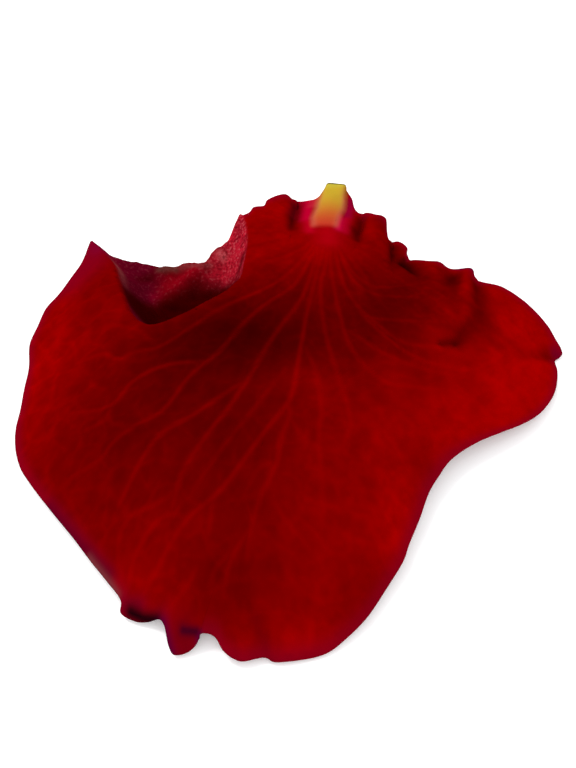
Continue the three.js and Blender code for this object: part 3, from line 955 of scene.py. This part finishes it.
def dent_colours(xy):
    """The dent's floor: purple on the left, pink with painted sheen on the right and painted shade
    behind the front wall. Also how strongly it is pebbled."""
    rightward = smoothstep(*PINK_SHEEN_FROM, xy[:, 0])
    colour = np.tile(DENT_PURPLE, (len(xy), 1))
    colour = blend(colour, DENT_ROSE, smoothstep(*ROSE_FROM, xy[:, 0]))
    colour = blend(colour, DENT_PINK_SHEEN, rightward)
    pebbled = PEBBLED[0] + PEBBLED[1] * rightward
    mottle = DENT_MOTTLE * pebbled * value_noise(xy, DENT_MOTTLE_SIZE, DENT_MOTTLE_SEED)
    colour *= (1 + mottle)[:, None]
    # Painted shade in the hollows, and painted light on the ridge.
    dark = np.zeros(len(xy))
    for line, half_width, power, strength in DENT_PAINTED_SHADE.values():
        share = strength * beside(xy, line, half_width, power)
        dark += share * (1 - dark) if strength > 0 else share
    lit, dark = np.clip(-dark, 0, 1), np.clip(dark, 0, 1)
    colour = blend(colour * (1 + lit)[:, None], PAINTED_SHADE_RED, dark)
    # A grey strip of painted sheen behind the left crest.
    gap, along = nearest_on_line(xy, CREST_STRIP)
    strip = np.exp(-((gap / CREST_STRIP_HALF_WIDTH) ** 2)) * np.sin(np.pi * along)
    return blend(colour, CREST_SHEEN_GREY, CREST_STRIP_PAINT * strip), pebbled * (1 - dark)


def paint_claw(xy, colour, inset):
    """Adds the claw's pale flesh, peach at its soft edges, and the dark line of its cut end."""
    rows, left, right = np.array(CLAW_FLESH).T
    x, y = xy.T
    within = np.minimum(x - np.interp(y, rows, left), np.interp(y, rows, right) - x)
    peach = np.exp(-((within / PEACH_WIDTH) ** 2)) * smoothstep(*PEACH_UNTIL, y)
    flesh = blend(np.tile(CLAW_ORANGE, (len(xy), 1)), CLAW_YELLOW, smoothstep(*YELLOW_FROM, y))
    flesh = blend(flesh, CLAW_TOP, smoothstep(*TOP_FROM, y))
    flesh = blend(flesh, CLAW_PEACH, PEACH_PAINT * peach)
    colour = blend(colour, flesh, smoothstep(*FLESH_EDGE, within) * smoothstep(*FLESH_FROM, y))
    return blend(colour, CUT_OLIVE, smoothstep(*CUT_EDGE, inset) * smoothstep(*CUT_FROM, y))


def petal_colours(points, facts):
    """The colour of each vertex, and how strongly it is pebbled."""
    xy = points[:, :2]
    colour = blade_colours(xy, facts)
    dent, pebbled = dent_colours(xy)
    in_dent = smoothstep(0.0, CREST_BLEND, facts["past"])
    colour = blend(colour, dent, in_dent)
    # Colour marks, some of them painted shade, sheen or highlights.
    for mark_colour, line, half_width, strength in COLOUR_MARKS_AND_PAINTED_LIGHT.values():
        colour = blend(colour, np.array(mark_colour), strength * beside(xy, line, half_width))
    return paint_claw(xy, colour, facts["inset"]), in_dent * pebbled


def petal_material():
    """Satin skin that lets some light through, painted by the mesh's own colours. Where the mesh is
    pebbled, fine grain adds painted shade in dark pits and painted glints."""
    material = bpy.data.materials.new("petal skin")
    material.use_nodes = True
    nodes, links = material.node_tree.nodes, material.node_tree.links
    skin = nodes["Principled BSDF"]
    skin.inputs["Roughness"].default_value = SKIN_ROUGHNESS
    skin.inputs["Specular IOR Level"].default_value = 0.0
    paint, pebbled = (nodes.new("ShaderNodeAttribute") for _ in range(2))
    paint.attribute_name = "Colour"
    pebbled.attribute_name = "Pebbled"
    place = nodes.new("ShaderNodeTexCoord")
    grain = nodes.new("ShaderNodeTexNoise")
    grain.inputs["Scale"].default_value = 1 / (GRAIN_SIZE * MM)
    grain.inputs["Detail"].default_value = 1.0
    links.new(place.outputs["Object"], grain.inputs["Vector"])

    def grained(colour, other, start, full, strength):
        """The colour, turning to the other where the grain's value goes from start to full."""
        spread = nodes.new("ShaderNodeMapRange")
        for name, value in (("From Min", start), ("From Max", full), ("To Max", strength)):
            spread.inputs[name].default_value = value
        links.new(grain.outputs["Fac"], spread.inputs["Value"])
        share = nodes.new("ShaderNodeMath")
        share.operation = "MULTIPLY"
        links.new(spread.outputs["Result"], share.inputs[0])
        links.new(pebbled.outputs["Fac"], share.inputs[1])
        mix = nodes.new("ShaderNodeMix")
        mix.data_type = "RGBA"
        links.new(share.outputs["Value"], mix.inputs["Factor"])
        links.new(colour, mix.inputs["A"])
        mix.inputs["B"].default_value = (*other, 1)
        return mix.outputs["Result"]

    # Painted shade in the grain's pits, then painted glints.
    pitted = grained(paint.outputs["Color"], PAINTED_SHADE_RED, *PITS)
    skin_colour = grained(pitted, DENT_GLINT, *GLINTS)
    links.new(skin_colour, skin.inputs["Base Color"])
    through = nodes.new("ShaderNodeBsdfTranslucent")
    links.new(skin_colour, through.inputs["Color"])
    mix = nodes.new("ShaderNodeMixShader")
    mix.inputs["Fac"].default_value = LIGHT_THROUGH
    links.new(skin.outputs["BSDF"], mix.inputs[1])
    links.new(through.outputs["BSDF"], mix.inputs[2])
    links.new(mix.outputs["Shader"], nodes["Material Output"].inputs["Surface"])
    return material


def build_petal():
    points, triangles, margin, facts = sheet()
    half = vertex_normals(points, triangles) * thickness(points[:, :2], facts["inset"])[:, None] / 2
    upper, lower = points + half, points - half
    lift = np.maximum(LEAST_HEIGHT - lower[:, 2], 0)
    lower[:, 2] += lift
    upper[:, 2] += lift
    count = len(points)
    b = np.roll(margin, -1)
    walls = [np.stack(s, 1) for s in ((margin, b + count, b), (margin, margin + count, b + count))]
    faces = np.vstack([triangles, triangles[:, ::-1] + count, *walls])
    places = np.vstack([upper, lower])
    places[:, :2] += DRAWING_ORIGIN
    mesh = bpy.data.meshes.new("petal")
    mesh.from_pydata((places * MM).tolist(), [], faces.tolist())
    mesh.shade_smooth()
    colours, pebbled = petal_colours(points, facts)
    rgba = np.column_stack([np.vstack([colours, colours]), np.ones(2 * count)])
    layer = mesh.color_attributes.new("Colour", "FLOAT_COLOR", "POINT")
    layer.data.foreach_set("color", rgba.astype(np.float32).ravel())
    layer = mesh.attributes.new("Pebbled", "FLOAT", "POINT")
    layer.data.foreach_set("value", np.tile(pebbled, 2).astype(np.float32))
    petal = bpy.data.objects.new("petal_blade", mesh)
    bpy.context.scene.collection.objects.link(petal)
    mesh.materials.append(petal_material())
    return petal


# ---------------------------------------------------------------- studio
def build_floor():
    bpy.ops.mesh.primitive_plane_add(size=FLOOR_SIZE, location=(0, 0, 0))
    floor = bpy.context.object
    floor.name = "floor"
    material = bpy.data.materials.new("floor")
    material.use_nodes = True
    surface = material.node_tree.nodes["Principled BSDF"]
    surface.inputs["Base Color"].default_value = FLOOR_COLOUR
    surface.inputs["Roughness"].default_value = FLOOR_ROUGHNESS
    surface.inputs["Emission Color"].default_value = (1, 1, 1, 1)
    surface.inputs["Emission Strength"].default_value = FLOOR_GLOW
    floor.data.materials.append(material)
    return floor


def add_aimed(name, data, place, facing):
    """Puts a light or camera in the scene, looking along facing."""
    item = bpy.data.objects.new(name, data)
    item.location = place
    item.rotation_mode = "QUATERNION"
    item.rotation_quaternion = facing.to_track_quat("-Z", "Y")
    bpy.context.scene.collection.objects.link(item)
    return item


def build_lights():
    world = bpy.data.worlds.new("soft room")
    world.use_nodes = True
    background = world.node_tree.nodes["Background"]
    background.inputs["Color"].default_value = (1, 1, 1, 1)
    background.inputs["Strength"].default_value = ROOM_STRENGTH
    bpy.context.scene.world = world
    window = bpy.data.lights.new("window", "AREA")
    window.shape = "DISK"
    window.size = WINDOW_SIZE
    window.energy = WINDOW_POWER
    window.color = WINDOW_COLOUR
    add_aimed("window", window, WINDOW_PLACE, -Vector(WINDOW_PLACE))


def build_camera():
    elevation = math.radians(CAMERA_ELEVATION)
    back = Vector((0, -math.cos(elevation), math.sin(elevation)))
    target = Vector(CAMERA_TARGET) + Vector((*DRAWING_ORIGIN, 0))
    camera = bpy.data.cameras.new("camera")
    camera.lens = CAMERA_LENS
    camera.sensor_width = CAMERA_SENSOR
    camera.clip_start, camera.clip_end = CAMERA_CLIP
    place = (target + back * CAMERA_DISTANCE) * MM
    bpy.context.scene.camera = add_aimed("camera", camera, place, -back)


# ---------------------------------------------------------------- the scene
petal = build_petal()
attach(petal, "root")
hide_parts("petal")
build_floor()
build_lights()
build_camera()
bpy.context.scene.view_settings.view_transform = "Standard"
